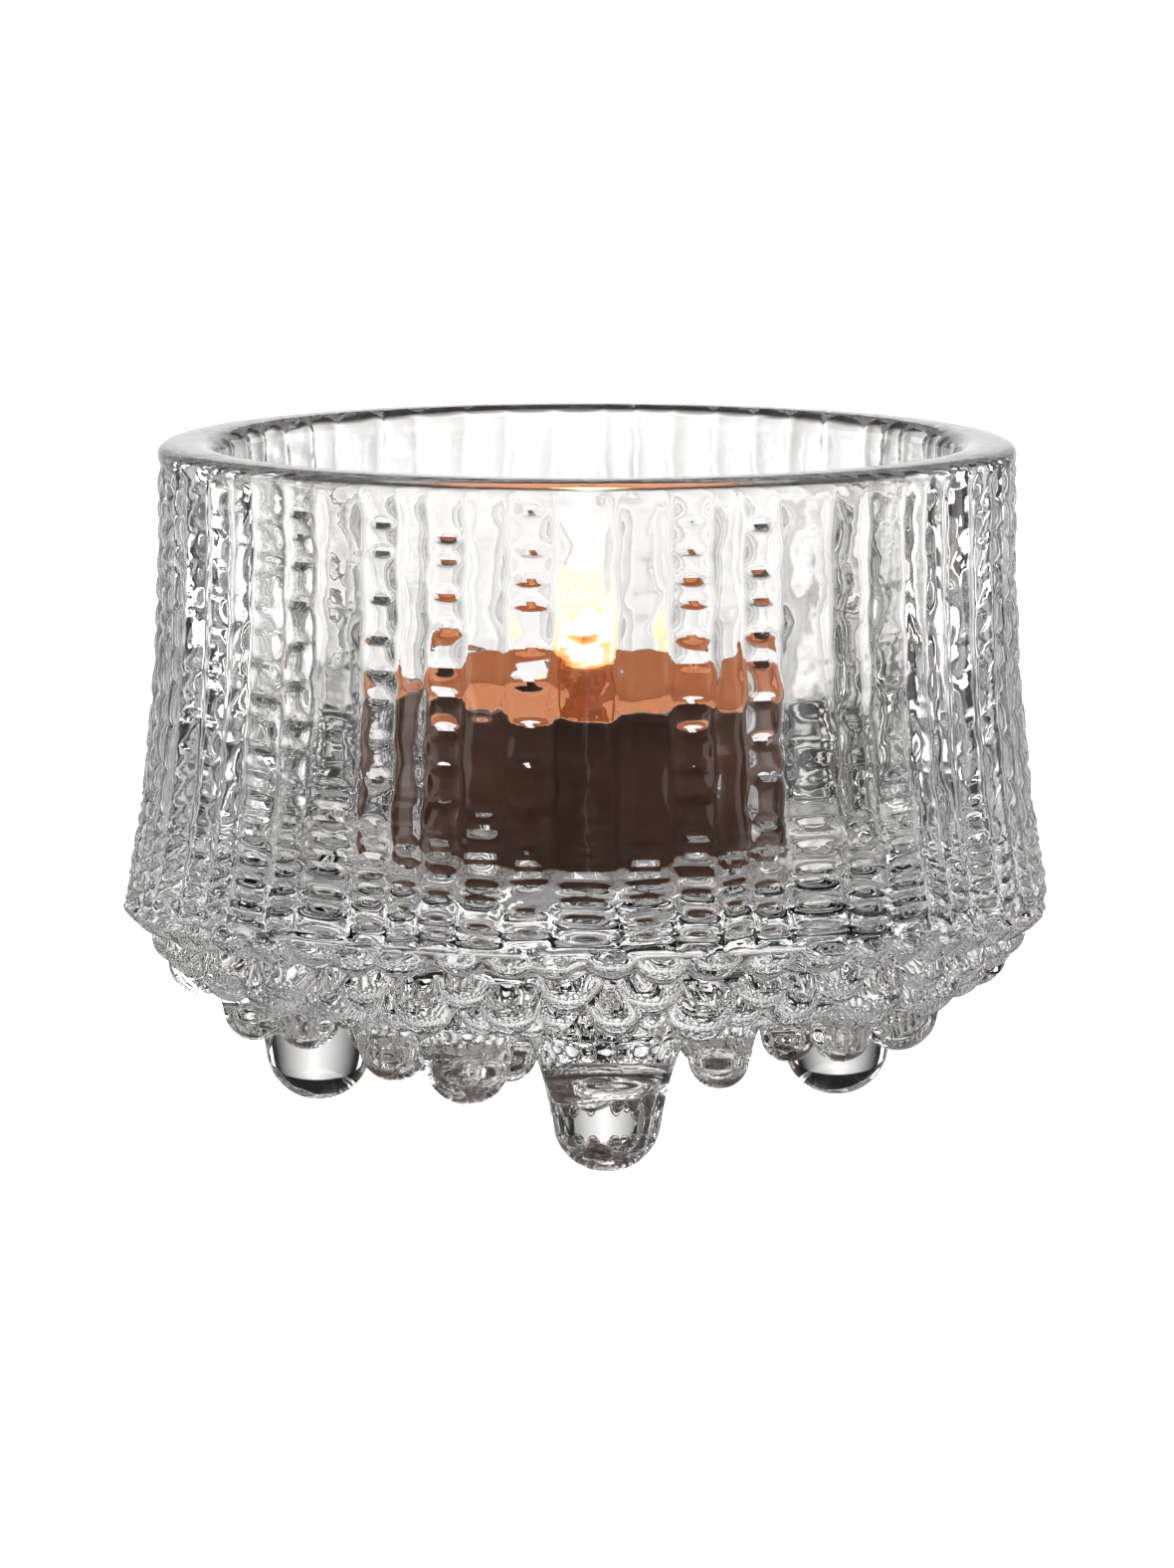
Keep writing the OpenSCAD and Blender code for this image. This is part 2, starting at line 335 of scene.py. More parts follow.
# ---------------------------------------------------------------- the bowl
def wall_r(z):
    """Outer radius over the ribs at height z."""
    t = np.clip((BAND_Z - z) / (BAND_Z - SHOULDER_Z), 0, None)
    return RIM_R + (SHOULDER_R - RIM_R) * t ** WALL_POWER


def underside_profile():
    """The plain shoulder and underside, from the ridge to the middle: how far along it, radius, height, and
    its outward direction as [radial, upward]."""
    knots = np.array([(wall_r(RIDGE_Z), RIDGE_Z), (SHOULDER_R - 0.02, 21.9), (43.8, 21.2), (42.8, 20.4),
                      (41.4, 19.3), (39.9, 18.0), (38.3, 16.9), (36.3, 15.9), (34.0, 14.8), (31.0, 13.3),
                      (28.0, 12.0), (22.0, 10.9), (12.0, UNDERSIDE_Z), (0.0, UNDERSIDE_Z)])
    reach = np.concatenate([[0], np.cumsum(np.hypot(*np.diff(knots, axis=0).T))])
    fine = np.arange(LOBE_STEP, LOBES_END, LOBE_STEP)
    plain = np.arange(LOBES_END + 1, reach[-1] - POLE_GAP, PLAIN_STEP)
    along = np.concatenate([fine, plain])
    r, z = np.interp(along, reach, knots[:, 0]), np.interp(along, reach, knots[:, 1])
    slope = np.stack([np.gradient(r, along), np.gradient(z, along)], 1)
    slope /= np.hypot(slope[:, 0], slope[:, 1])[:, None]
    return along, r, z, np.stack([-slope[:, 1], slope[:, 0]], 1)


def lobe_heights(along, r, theta):
    """How far the lobes stand out of the underside, one row a ring and one column a vertex."""
    total = np.zeros((len(along), len(theta)))
    for row in LOBE_ROWS:
        ring_r = np.interp(row["along"], along, r)
        for i in range(row["count"]):
            turn = TURN * (i + row["turn"] + rng.uniform(-LOBE_DRIFT, LOBE_DRIFT)) / row["count"]
            size = np.array(row["half"]) * rng.uniform(*LOBE_SIZE) * rng.uniform(*LOBE_STRETCH, 3)
            tilt = rng.uniform(-LOBE_TILT, LOBE_TILT)
            u = ((theta - turn + math.pi) % TURN - math.pi)[None, :] * ring_r
            v = (along - row["along"] - rng.uniform(-LOBE_SHIFT, LOBE_SHIFT))[:, None]
            u = u * (1 + LOBE_TAPER * np.clip(v / size[1], -1, 1))
            across = (u * math.cos(tilt) + v * math.sin(tilt)) / size[0]
            down = (v * math.cos(tilt) - u * math.sin(tilt)) / size[1]
            dome = size[2] * np.sqrt(np.clip(1 - across ** 2 - down ** 2, 0, None))
            total += dome ** LOBE_BLEND
    return total ** (1 / LOBE_BLEND)


def rib_edges():
    """The bearings of the grooves between the uneven ribs."""
    widths = rng.uniform(*RIB_WIDTHS, RIBS)
    return np.concatenate([[0], np.cumsum(widths)]) / widths.sum() * TURN


def slow_waves(z, sizes, phases):
    """A sum of waves over the heights z, each with its own size, length and phase."""
    return sum(size * np.sin(z * TURN / length + phase) for (size, length), phase in zip(sizes, phases))


def cell_dips(z, kind, extra=0.0):
    """How deep a rib is notched at heights z, in cells of one kind."""
    cells = CELLS[kind]
    deep = rng.uniform(*cells["deep"]) + extra
    low, high = cells["tall"]
    cuts = [z.min() - rng.uniform(0, high)]
    while cuts[-1] < z.max() + high:
        cuts.append(cuts[-1] + rng.uniform(low, high))
    cuts = np.array([z[np.abs(z - c).argmin()] if z.min() < c < z.max() else c for c in cuts])
    dip = np.zeros_like(z)
    for a, b in zip(cuts[:-1], cuts[1:]):
        if b - a < SMALLEST_CELL:
            continue
        here = (z >= a) & (z <= b)
        near = np.minimum(z[here] - a, b - z[here])
        notch = np.exp(-(near / cells["wide"]) ** 2)
        v = (z[here] - (a + b) / 2) / ((b - a) / 2)
        dome = 1 - np.sqrt(np.clip(1 - v * v * CELL_ROUND, 0, 1))
        shape = (1 - cells["domed"]) * notch + cells["domed"] * dome
        dip[here] = np.maximum(dip[here], deep * shape)
    return dip


def rib_dips(z, k, side, phases):
    """How deep rib number k lies under the outline at heights z, without the grooves beside it."""
    kind = rng.choice(KINDS, p=KIND_ODDS[side])
    kind = "ladder" if k in FRONT_LADDERS else "plain" if k in FRONT_PLAIN else kind
    jitter = rng.normal(size=len(z) + 2 * WRINKLE_MARGIN)
    wrinkle = np.convolve(jitter, WRINKLE_SHAPE, "same")[WRINKLE_MARGIN:-WRINKLE_MARGIN]
    pebble_top = rng.uniform(*PEBBLE_TOP_Z) + (PEBBLE_FRONT_RISE if side == "front" else 0)
    slow = slow_waves(z, DEPTH_WAVES, phases) + WRINKLE[side] * wrinkle
    if kind == "plain":
        dip = PLAIN_DIP + slow
    else:
        dip = slow + cell_dips(z, kind, CELL_EXTRA[side] if kind == "ladder" else 0.0)
    pebbles = cell_dips(z, "pebbles", CELL_EXTRA[side])
    mix = np.clip((pebble_top + PEBBLE_LEAD - z) / PEBBLE_BLEND, 0, 1)
    return dip * (1 - mix) + (PEBBLE_DIP + pebbles) * mix


def wall_relief(z):
    """Two arrays of one row a ring and one column a vertex, the depth under the outline and the bearing, and
    the bearings of the grooves."""
    edges = rib_edges()
    phases = rng.uniform(0, TURN, (RIBS, 4))
    sway = np.stack([slow_waves(z, SWAY_WAVES, phases[k, :2]) for k in range(RIBS)], 1)
    sway = np.concatenate([sway, sway[:, :1]], 1) / RIM_R
    theta = np.zeros((len(z), RIBS * len(RIB_ACROSS)))
    depth = np.zeros_like(theta)
    middle = (RIB_HEIGHTS ** MIDDLE_POWER)[None, :]
    fade = np.clip((z - (BAND_Z - FADE_START)) / FADE_H, 0, 1)[:, None] ** 2 * FADE_DIP
    for k in range(RIBS):
        cols = slice(k * len(RIB_ACROSS), (k + 1) * len(RIB_ACROSS))
        a, b = edges[k] + sway[:, k], edges[k + 1] + sway[:, k + 1]
        theta[:, cols] = a[:, None] + (b - a)[:, None] * RIB_COLUMNS[None, :]
        facing = math.sin((a[0] + b[0]) / 2)
        side = "side" if abs(facing) < SIDE_FACING else "front" if facing < 0 else "back"
        dip = rib_dips(z, k, side, phases[k, 2:])
        slant = SLANT[side] * rng.uniform(-1, 1)
        slanted = [np.interp(z + slant * (across - 0.5), z[::-1], dip[::-1]) for across in RIB_COLUMNS]
        share = rng.uniform(*RIB_SHARE)
        groove = (1 - RIB_HEIGHTS)[None, :] * RIB_H * GROOVE_SHARE[side]
        lower = np.clip(np.stack(slanted, 1) + (1 - share) * RIB_H + fade, 0, None)
        depth[:, cols] = groove * share * (1 - FADE_FILL * fade) + lower * middle
    ease = np.clip((RIDGE_Z + RIDGE_EASE_H - z) / RIDGE_EASE_H, 0, 1)[:, None] * RIDGE_PLAIN
    return depth * (1 - ease) + RIDGE_DIP * ease, theta, edges


def cavity_rings(theta):
    """The bowl's inside, from the middle of its floor up to the lip."""
    rings = [ring_points(r, FLOOR_Z, theta[::4]) for r in FLOOR_RINGS_R]
    for i in range(CORNER_STEPS + 1):
        t = math.pi / 2 * i / CORNER_STEPS
        r = CAVITY_LOW_R - CORNER_R + CORNER_R * math.sin(t)
        rings.append(ring_points(r, FLOOR_Z + CORNER_R * (1 - math.cos(t)), theta if i else theta[::2]))
    rise = HOLDER_H - LIP_INNER_H - FLOOR_Z - CORNER_R
    for i in range(1, CAVITY_STEPS):
        t = i / CAVITY_STEPS
        uneven = sum(size * np.sin(number * theta + drift * t) for size, number, drift in CAVITY_WAVES)
        r = CAVITY_LOW_R + (CAVITY_R - CAVITY_LOW_R) * t + uneven * math.sin(math.pi * t)
        rings.append(ring_points(r, FLOOR_Z + CORNER_R + rise * t, theta))
    return rings


def lip_rings(inner, outer):
    """The rim, from the inside over its top to the outside, on the inside's and the outside's bearings."""
    rings = []
    for i in range(LIP_STEPS + 1):
        t = math.pi * (1 - i / LIP_STEPS)
        across, up = math.cos(t), math.sin(t)
        power = LIP_INNER_POWER if across < 0 else LIP_OUTER_POWER
        lip_h = LIP_INNER_H if across < 0 else LIP_OUTER_H
        square = math.copysign(abs(across) ** power, across)
        z = HOLDER_H - lip_h * (1 - abs(up) ** power)
        theta = inner if i < LIP_COARSE_STEPS else outer
        rings.append(ring_points(CAVITY_R + LIP_R + LIP_R * square, z, theta))
    return rings


def underside_rings(depth, theta):
    """The shoulder and the underside with their lobes. They start from the relief of the wall's last ring."""
    along, radius, height, out = underside_profile()
    lobes = lobe_heights(along, radius, theta)
    rings = []
    for i, r in enumerate(radius):
        skip = 1 if along[i] < LOBES_END else 2 if r > HALF_R else 4 if r > QUARTER_R else 8
        ease = max(0, 1 - along[i] / RIDGE_FADE)
        stand = lobes[i][::skip] - LOBE_SINK * (1 - ease) - depth[::skip] * ease
        rings.append(ring_points(r + out[i][0] * stand, height[i] + out[i][1] * stand, theta[::skip]))
    return rings


def vessel():
    """The bowl with its ribs, notches, pebbles and lobes, before the drops and feet are joined to it."""
    fine = np.arange(RIDGE_Z + 0.1, PEBBLE_Z, FINE_STEP)
    coarse = np.arange(PEBBLE_Z, BAND_Z - BAND_GAP, WALL_STEP)
    z = np.concatenate([fine, coarse])[::-1]
    depth, theta, edges = wall_relief(z)
    plain = np.concatenate([edges[k] + (edges[k + 1] - edges[k]) * RIB_COLUMNS for k in range(RIBS)])
    rings = cavity_rings(plain[::2]) + lip_rings(plain[::2], plain)
    rings += [ring_points(wall_r(height) - depth[j], height, theta[j]) for j, height in enumerate(z)]
    rings += underside_rings(depth[-1], theta[-1])
    points, faces = closed_skin(rings, (0, 0, FLOOR_Z), (0, 0, UNDERSIDE_Z))
    return outward(make_object("glass_bowl", points, faces))


def drop_profile(tip_r, flat_r, tip_z, top_z, flare):
    """From the tip up: a round end, then a stem that widens to flare times the tip's radius."""
    start = math.asin(flat_r / tip_r) if flat_r else 0
    centre = tip_z + tip_r * math.cos(start)
    profile = []
    for i in range(ROUND_STEPS + 1):
        t = start + (math.radians(DROP_ROUND) - start) * i / ROUND_STEPS
        profile.append((tip_r * math.sin(t), centre - tip_r * math.cos(t)))
    r0, z0 = profile[-1]
    for i in range(1, STEM_STEPS + 1):
        t = i / STEM_STEPS
        r = r0 + (flare * tip_r - r0) * (STEM_EVEN * t + STEM_LATE * t ** 3)
        profile.append((r, z0 + (top_z - z0) * t))
    profile.append((flare * tip_r, top_z + STEM_ROOT))
    return profile


def drop(x, y, profile, around):
    """A hanging drop, turned about an upright axis at x, y."""
    t = np.arange(around) / around * TURN
    wobble = 1 + DROP_WOBBLE[0] * np.sin(2 * t + 5 * x) + DROP_WOBBLE[1] * np.sin(3 * t + 3 * y)
    shape = [(r, z) for r, z in profile if r > 0]
    rings = [np.stack([x + r * wobble * np.cos(t), y + r * wobble * np.sin(t), np.full(around, z)], 1)
             for r, z in shape]
    points, faces = closed_skin(rings, (x, y, profile[0][1]), (x, y, profile[-1][1]))
    return points.tolist(), faces


def under_z(r):
    """Height of the plain underside at radius r."""
    _, radius, height, _ = underside_profile()
    return float(np.interp(r, radius[::-1], height[::-1]))


def hanging(ring_r, turn, tip, flare, reach, around):
    """A drop on a ring. tip is its radius, the radius of its flat, and its height."""
    profile = drop_profile(*tip, under_z(ring_r) + reach, flare)
    return drop(ring_r * math.cos(turn), ring_r * math.sin(turn), profile, around)


def glass_holder():
    """The vessel with its drops and feet joined to it. Neighbouring drops are joined in separate steps."""
    piece = vessel()
    first, second, third = [], [], []
    for foot in range(3):
        turn = math.radians(FOOT_TURN + 120 * foot)
        tip = (FOOT_TIP_R, FOOT_FLAT_R, 0)
        first.append(hanging(FOOT_RING_R, turn, tip, FOOT_FLARE, OUTER_REACH, FOOT_AROUND))
        for i, (after, ring_r, tip_r, tip_z) in enumerate(SHORT_DROPS):
            a = turn + math.radians(after)
            one = hanging(ring_r, a, (tip_r, 0, tip_z), SHORT_FLARE, OUTER_REACH, SHORT_AROUND)
            (first if i in SHORT_WITH_FEET else second).append(one)
    for ring_r, count, tip_r, tip_z in DROP_RINGS:
        for i in range(count):
            a = (i + DROP_RING_TURN) / count * TURN
            third.append(hanging(ring_r, a, (tip_r, 0, tip_z), INNER_FLARE, INNER_REACH, INNER_AROUND))
    for i, shells in enumerate([first, second, third]):
        unite(piece, joined(f"drops_{i}", shells))
    piece.data.set_sharp_from_angle(angle=SHARP_ANGLE)
    return piece


# ---------------------------------------------------------------- node tools
def new_material(name):
    material = bpy.data.materials.new(name)
    material.use_nodes = True
    nodes = material.node_tree.nodes
    return material, nodes, material.node_tree.links, nodes["Principled BSDF"]


def math_node(nodes, links, operation, *values):
    node = nodes.new("ShaderNodeMath")
    node.operation = operation
    for socket, value in zip(node.inputs, values):
        if isinstance(value, (int, float)):
            socket.default_value = value
        else:
            links.new(value, socket)
    return node.outputs["Value"]


def smooth_range(nodes, links, value, a, b, low, high):
    """Runs smoothly from low to high while the value runs from a to b."""
    node = nodes.new("ShaderNodeMapRange")
    node.interpolation_type = "SMOOTHSTEP"
    for name, number in (("From Min", a), ("From Max", b), ("To Min", low), ("To Max", high)):
        node.inputs[name].default_value = number
    links.new(value, node.inputs["Value"])
    return node.outputs["Result"]


def position(nodes, links, output="Object"):
    """The coordinates of one kind, whole, and their X, Y and Z."""
    whole = nodes.new("ShaderNodeTexCoord").outputs[output]
    split = nodes.new("ShaderNodeSeparateXYZ")
    links.new(whole, split.inputs["Vector"])
    return whole, [split.outputs[axis] for axis in "XYZ"]


def length(nodes, links, vector):
    node = nodes.new("ShaderNodeVectorMath")
    node.operation = "LENGTH"
    links.new(vector, node.inputs[0])
    return node.outputs["Value"]


def noise(nodes, links, scale, detail, stretch=None):
    texture = nodes.new("ShaderNodeTexNoise")
    texture.inputs["Scale"].default_value = scale
    texture.inputs["Detail"].default_value = detail
    source = nodes.new("ShaderNodeTexCoord").outputs["Object"]
    if stretch:
        mapping = nodes.new("ShaderNodeMapping")
        mapping.inputs["Scale"].default_value = stretch
        links.new(source, mapping.inputs["Vector"])
        source = mapping.outputs["Vector"]
    links.new(source, texture.inputs["Vector"])
    return texture.outputs["Fac"]


def spread(nodes, links, source, low, high):
    """The noise's 0.35 to 0.65 spread over low to high."""
    remap = nodes.new("ShaderNodeMapRange")
    remap.inputs["From Min"].default_value = 0.35
    remap.inputs["From Max"].default_value = 0.65
    remap.inputs["To Min"].default_value = low
    remap.inputs["To Max"].default_value = high
    links.new(source, remap.inputs["Value"])
    return remap.outputs["Result"]


def bump(nodes, links, shader, source, strength, distance):
    node = nodes.new("ShaderNodeBump")
    node.inputs["Strength"].default_value = strength
    node.inputs["Distance"].default_value = distance
    links.new(source, node.inputs["Height"])
    links.new(node.outputs["Normal"], shader.inputs["Normal"])


def two_colours(nodes, links, source, low, high):
    """A colour that runs from low to high with the source."""
    ramp = nodes.new("ShaderNodeValToRGB")
    ramp.color_ramp.elements[0].color = low
    ramp.color_ramp.elements[1].color = high
    links.new(source, ramp.inputs["Fac"])
    return ramp


# ---------------------------------------------------------------- materials
def clear_glass():
    """Clear pressed glass. Its skin is a little uneven, more so on the wall than under the shoulder."""
    material, nodes, links, shader = new_material("clear_glass")
    shader.inputs["Base Color"].default_value = (0.99, 0.984, 0.976, 1)
    shader.inputs["Transmission Weight"].default_value = 1.0
    shader.inputs["IOR"].default_value = 1.5
    rough = noise(nodes, links, 180, 2)
    links.new(spread(nodes, links, rough, 0.0, 0.006), shader.inputs["Roughness"])
    fine = noise(nodes, links, 420, 1, (1, 1, 1.6))
    _, (_, _, z) = position(nodes, links)
    wall = smooth_range(nodes, links, z, SHOULDER_Z * MM, PEBBLE_Z * MM, 0.0, 1.0)
    bump(nodes, links, shader, math_node(nodes, links, "MULTIPLY", fine, wall), 0.4, 0.00008)
    return material


def cup_metal():
    """One copper-coloured metal in two tones: painted shade makes it dark brown outside and under its floor,
    and painted flame light makes the copper inside lighter than its own colour.
    """
    material, nodes, links, shader = new_material("cup_metal")
    shader.inputs["Metallic"].default_value = 0.25
    tone = noise(nodes, links, 260, 6, (1, 1, 0.25))
    # Painted shade: the dark brown tones of the cup's outside
    outside = two_colours(nodes, links, tone, (0.08, 0.035, 0.02, 1), (0.46, 0.27, 0.195, 1))
    # Painted flame light: the copper of the inside, lightened
    inside = two_colours(nodes, links, tone, (0.80, 0.44, 0.28, 1), (1.0, 0.80, 0.60, 1))
    place, (_, _, z) = position(nodes, links)
    level = nodes.new("ShaderNodeVectorMath")
    level.operation = "MULTIPLY"
    level.inputs[1].default_value = (1, 1, 0)
    links.new(place, level.inputs[0])
    from_axis = length(nodes, links, level.outputs["Vector"])
    # The painted shade covers the outer face of the wall and the underside of the floor; the rest takes the
    # lightened copper
    beyond = math_node(nodes, links, "GREATER_THAN", from_axis, CUP_MIDDLE_R * MM)
    under = math_node(nodes, links, "LESS_THAN", z, cup_low.z + CUP_SHEET / 2 * MM)
    mix = nodes.new("ShaderNodeMix")
    mix.data_type = "RGBA"
    links.new(math_node(nodes, links, "MAXIMUM", beyond, under), mix.inputs["Factor"])
    links.new(inside.outputs["Color"], mix.inputs["A"])
    links.new(outside.outputs["Color"], mix.inputs["B"])
    links.new(mix.outputs["Result"], shader.inputs["Base Color"])
    links.new(spread(nodes, links, tone, 0.35, 0.55), shader.inputs["Roughness"])
    bump(nodes, links, shader, tone, 0.2, 0.0002)
    return material


def wax():
    """Wax in the warm colour that it has in the flame's light."""
    material, nodes, links, shader = new_material("wax")
    tone = noise(nodes, links, 90, 3)
    colour = two_colours(nodes, links, tone, (0.86, 0.40, 0.21, 1), (0.95, 0.51, 0.30, 1))
    links.new(colour.outputs["Color"], shader.inputs["Base Color"])
    shader.inputs["Subsurface Weight"].default_value = 0.3
    shader.inputs["Subsurface Scale"].default_value = 0.003
    links.new(spread(nodes, links, tone, 0.2, 0.35), shader.inputs["Roughness"])
    bump(nodes, links, shader, tone, 0.1, 0.0003)
    return material


def sustainer_steel():
    material, nodes, links, shader = new_material("sustainer_steel")
    shader.inputs["Metallic"].default_value = 1.0
    shader.inputs["Base Color"].default_value = (0.55, 0.53, 0.5, 1)
    tone = noise(nodes, links, 300, 3)
    links.new(spread(nodes, links, tone, 0.3, 0.5), shader.inputs["Roughness"])
    bump(nodes, links, shader, tone, 0.15, 0.0001)
    return material


def wick_cotton():
    """Charred and soaked in wax, with a faint glow from the flame round it."""
    material, nodes, links, shader = new_material("wick_cotton")
    shader.inputs["Emission Color"].default_value = (1.0, 0.36, 0.14, 1)
    shader.inputs["Emission Strength"].default_value = 0.14
    tone = noise(nodes, links, 900, 4)
    colour = two_colours(nodes, links, tone, (0.26, 0.12, 0.07, 1), (0.5, 0.25, 0.16, 1))
    links.new(colour.outputs["Color"], shader.inputs["Base Color"])
    links.new(spread(nodes, links, tone, 0.8, 0.95), shader.inputs["Roughness"])
    bump(nodes, links, shader, tone, 0.6, 0.0003)
    return material


def glow(name, bottom, middle, top, strength, cover=1.0):
    """A glow whose colour runs through three colours from the bottom to the top."""
    material, nodes, links, shader = new_material(name)
    shader.inputs["Base Color"].default_value = (0, 0, 0, 1)
    shader.inputs["Emission Strength"].default_value = strength
    shader.inputs["Alpha"].default_value = cover
    shader.inputs["Specular IOR Level"].default_value = 0.0
    _, (_, _, z) = position(nodes, links, "Generated")
    ramp = two_colours(nodes, links, z, bottom, top)
    ramp.color_ramp.elements.new(0.45).color = middle
    links.new(ramp.outputs["Color"], shader.inputs["Emission Color"])
    return material


# ---------------------------------------------------------------- the tealight
def pool_level(r, theta):
    """Height of the wax's top: a melted pool that climbs a little at the wick, in a rim of soft solid wax."""
    shore = sum((size * np.sin(number * theta + turn) for size, number, turn in POOL_WAVES), POOL_R)
    inside = 1 / (1 + np.exp((r - shore) / POOL_SOFT))
    climb = CLIMB_H * math.exp(-((r / CLIMB_R) ** 2))
    uneven = sum(size * np.sin(number * theta + drift * r) for size, number, drift in RIM_WAVES)
    return wax_high.z / MM - WAX_INSET - (POOL_DEPTH - climb) * inside + uneven * (1 - inside)


def wax_puck():
    """The puck of wax, with a melted pool round the wick."""
    theta = np.arange(WAX_AROUND) / WAX_AROUND * TURN
    low, high = wax_low.z / MM, wax_high.z / MM
    coarse = np.arange(POOL_FIRST_R, POOL_FINE_R, POOL_STEP)
    fine = np.arange(POOL_FINE_R, WAX_R - WAX_EDGE_R, POOL_FINE_STEP)
    rings = [ring_points(r, pool_level(r, theta), theta) for r in np.concatenate([coarse, fine])]
    for t in WAX_EDGE_RINGS:
        z = high - WAX_INSET - WAX_EDGE_H * t * t
        rings.append(ring_points(WAX_R - WAX_EDGE_R * (1 - t), z, theta))
    rings.append(ring_points(WAX_R, low + WAX_BEVEL, theta))
    rings.append(ring_points(WAX_R - WAX_BEVEL, low, theta))
    centre = float(pool_level(0, theta[:1])[0])
    points, faces = closed_skin(rings, (0, 0, centre), (0, 0, low))
    piece = outward(make_object("wax_melt", points, faces))
    piece.data.set_sharp_from_angle(angle=SHARP_ANGLE)
    return piece


def wick_twist():
    """Three cotton strands twisted together, leaning a little where the flame has charred them."""
    wax_top = wax_high.z / MM
    around = np.arange(STRAND_AROUND) / STRAND_AROUND * TURN
    shells = []
    for strand in range(STRANDS):
        rings = []
        for z in np.arange(wick_low.z / MM, WICK_TOP + 0.01, WICK_STEP):
            taper = min(1, TIP_SHARE + (1 - TIP_SHARE) * (WICK_TOP - z) / CHAR_H)
            turn = TURN * (strand / STRANDS + z / TWIST_PITCH)
            out = (WICK_TAKES - STRAND_R) * taper
            lean = WICK_LEAN * max(0, (z - wax_top) / (WICK_TOP - wax_top)) ** 2
            x, y = out * math.cos(turn) + lean, out * math.sin(turn)
            r = STRAND_R * taper * (1 + STRAND_UNEVEN * np.sin(4 * around + 3 * z))
            level = np.full(STRAND_AROUND, z)
            rings.append(np.stack([x + r * np.cos(around), y + r * np.sin(around), level], 1))
        points, faces = closed_skin(rings, rings[0].mean(0), rings[-1].mean(0))
        shells.append((points.tolist(), faces))
    return joined("wick_twist", shells)


def flame_shell(name, low, high, widest):
    """A drawn-out drop round the top of the wick, which leans a little."""
    angles = np.arange(FLAME_AROUND) / FLAME_AROUND * TURN
    rings = []
    for i in range(1, FLAME_RINGS):
        t = i / FLAME_RINGS
        r = widest * math.sin(math.pi * t ** FLAME_BELLY) ** FLAME_ROUND * (1 - FLAME_TAPER * t)
        lean = FLAME_LEAN * math.sin(FLAME_BEND * t)
        z = np.full(FLAME_AROUND, low + (high - low) * t)
        rings.append(np.stack([r * np.cos(angles) + lean, r * np.sin(angles), z], 1))
    points, faces = closed_skin(rings, (0, 0, low), (FLAME_LEAN * math.sin(FLAME_BEND), 0, high))
    return outward(make_object(name, points, faces))


def flame():
    """A candle flame: a bright core in thin shells that fade to amber."""
    core = glow("flame_core", (1.0, 0.6, 0.25, 1), (1.0, 0.9, 0.72, 1), (1.0, 0.85, 0.62, 1), CORE_STRENGTH)
    veil = glow("flame_veil", (1.0, 0.5, 0.2, 1), (1.0, 0.82, 0.5, 1), (1.0, 0.84, 0.56, 1), VEIL_STRENGTH,
                VEIL_COVER)
    for i in range(VEILS + 1):
        name = f"flame_veil_{i - 1}" if i else "flame_core"
        long = 1 + VEIL_LONGER * i
        low, high = WICK_TOP - FLAME_BELOW * long, WICK_TOP + FLAME_ABOVE * long
        piece = flame_shell(name, low, high, FLAME_R + VEIL_WIDER * i)
        paint(piece, veil if i else core)
        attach(piece, "candle")


def paint(piece, material):
    piece.data.materials.clear()
    piece.data.materials.append(material)


# ---------------------------------------------------------------- the studio
def by_bearing(nodes, links, x, y):
    """How bright the surroundings are in the direction of x, y."""
    bearing = math_node(nodes, links, "ABSOLUTE", math_node(nodes, links, "ARCTAN2", x, y))
    ramp = nodes.new("ShaderNodeValToRGB")
    stops = ramp.color_ramp.elements
    stops = [stops[0], stops[1]] + [stops.new(0.5) for _ in BEARINGS[2:]]
    for (place, level), stop in zip(BEARINGS, stops):
        stop.position = place
        stop.color = (level, level, level, 1)
    links.new(math_node(nodes, links, "DIVIDE", bearing, math.pi), ramp.inputs["Fac"])
    return ramp.outputs["Color"]


def white_to_camera(nodes, links, level):
    """The level, or plain white where the camera itself sees it."""
    path = nodes.new("ShaderNodeLightPath")
    return math_node(nodes, links, "MAXIMUM", level, path.outputs["Is Camera Ray"])


def studio_floor():
    """A large dark disc that glows. The camera sees it plain white, and the glass sees it dim near the bowl
    and lit by bearing further out."""
    edge = [TURN * i / FLOOR_AROUND for i in range(FLOOR_AROUND)]
    points = [(0, 0, 0)]
    points += [(FLOOR_R * math.cos(t) / MM, FLOOR_R * math.sin(t) / MM, 0) for t in edge]
    faces = [(0, 1 + i, 1 + (i + 1) % FLOOR_AROUND) for i in range(FLOOR_AROUND)]
    piece = make_object("studio_floor", points, faces, smooth=False)
    material, nodes, links, shader = new_material("studio_floor")
    shader.inputs["Base Color"].default_value = (0.05, 0.05, 0.05, 1)
    shader.inputs["Roughness"].default_value = 0.9
    place, (x, y, _) = position(nodes, links)
    away = length(nodes, links, place)
    far = smooth_range(nodes, links, away, FLOOR_NEAR, FLOOR_FAR, 0.0, 1.0)
    lit = math_node(nodes, links, "MULTIPLY", far, by_bearing(nodes, links, x, y))
    near = smooth_range(nodes, links, away, UNDER_R, UNDER_R + UNDER_FADE, UNDER_BOWL, FLOOR_DARK)
    level = math_node(nodes, links, "MAXIMUM", lit, near)
    shader.inputs["Emission Color"].default_value = (1, 1, 1, 1)
    links.new(white_to_camera(nodes, links, level), shader.inputs["Emission Strength"])
    paint(piece, material)


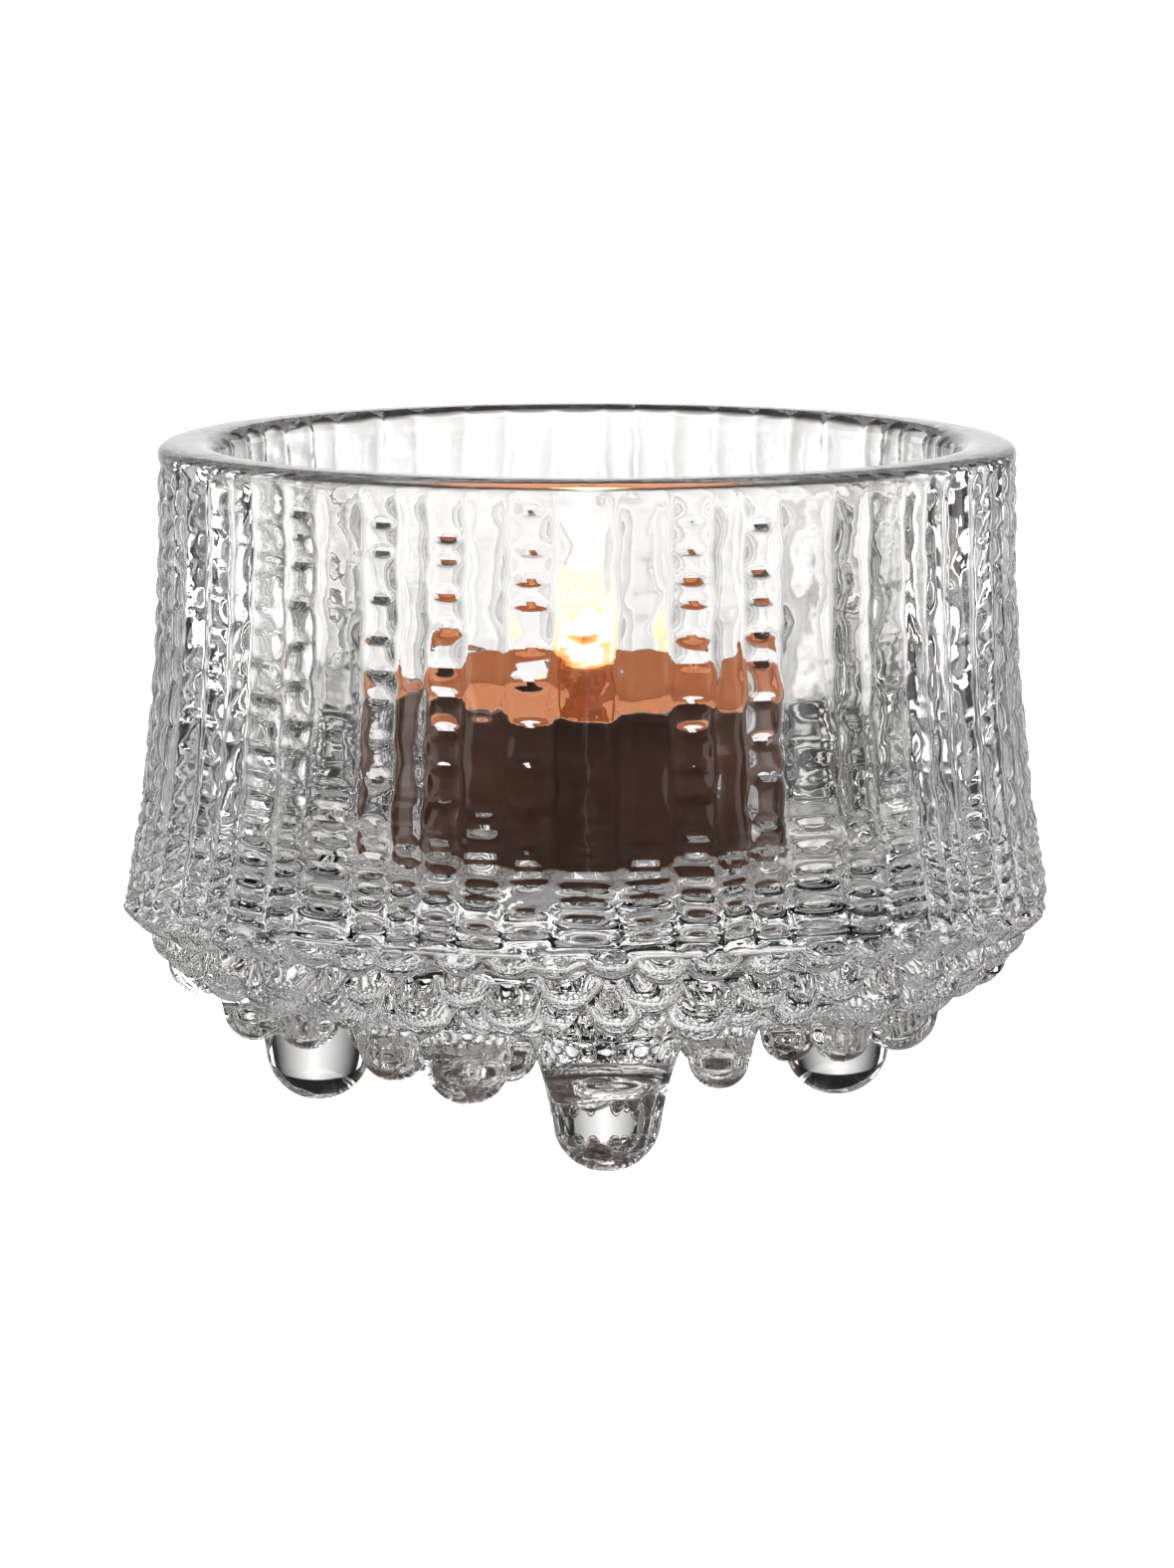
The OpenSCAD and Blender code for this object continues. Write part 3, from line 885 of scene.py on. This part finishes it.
def studio_world():
    """Panels of soft light with dark gaps between them: one behind the bowl, three on each side and one
    overhead. The camera sees plain white."""
    world = bpy.data.worlds.new("studio")
    world.use_nodes = True
    bpy.context.scene.world = world
    nodes, links = world.node_tree.nodes, world.node_tree.links
    _, (x, y, z) = position(nodes, links, "Generated")
    sides = by_bearing(nodes, links, x, y)
    backdrop = smooth_range(nodes, links, y, *BACKDROP_BEARING, 0.0, BACKDROP_RISE)
    height = math_node(nodes, links, "SUBTRACT", math_node(nodes, links, "ABSOLUTE", z), backdrop)
    belt = smooth_range(nodes, links, height, *BELT_TOP, 1.0, ABOVE_BELT)
    overhead = smooth_range(nodes, links, z, *OVERHEAD, 0.0, OVERHEAD_LEVEL)
    level = math_node(nodes, links, "MAXIMUM", math_node(nodes, links, "MULTIPLY", sides, belt), overhead)
    background = nodes["Background"]
    background.inputs["Color"].default_value = (1, 1, 1, 1)
    links.new(white_to_camera(nodes, links, level), background.inputs["Strength"])


def studio_camera():
    """In front of the bowl and a little above it, as in a catalogue."""
    data = bpy.data.cameras.new("camera")
    data.sensor_fit = "VERTICAL"
    data.sensor_height = CAMERA_SENSOR
    data.lens = CAMERA_LENS
    camera = bpy.data.objects.new("camera", data)
    rise = CAMERA_DISTANCE * math.sin(CAMERA_TILT)
    camera.location = (0, -CAMERA_DISTANCE * math.cos(CAMERA_TILT), CAMERA_AIM_Z + rise)
    camera.rotation_euler = (math.pi / 2 - CAMERA_TILT, 0, 0)
    bpy.context.scene.collection.objects.link(camera)
    bpy.context.scene.camera = camera


def render_look():
    scene = bpy.context.scene
    scene.view_settings.view_transform = "Standard"
    scene.view_settings.look = "High Contrast"
    scene.cycles.max_bounces = GLASS_BOUNCES
    scene.cycles.transmission_bounces = GLASS_BOUNCES
    scene.cycles.glossy_bounces = GLOSSY_BOUNCES
    scene.cycles.sample_clamp_indirect = BRIGHTEST_INDIRECT


# ---------------------------------------------------------------- everything in place
bowl = glass_holder()
paint(bowl, clear_glass())
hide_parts("glass_holder")
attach(bowl, "holder")

paint(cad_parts["tealight_cup"], cup_metal())
paint(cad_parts["wick_sustainer"], sustainer_steel())

puck = wax_puck()
paint(puck, wax())
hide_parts("wax_puck")
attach(puck, "candle")

twist = wick_twist()
paint(twist, wick_cotton())
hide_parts("wick")
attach(twist, "candle")

flame()

studio_floor()
studio_world()
studio_camera()
render_look()
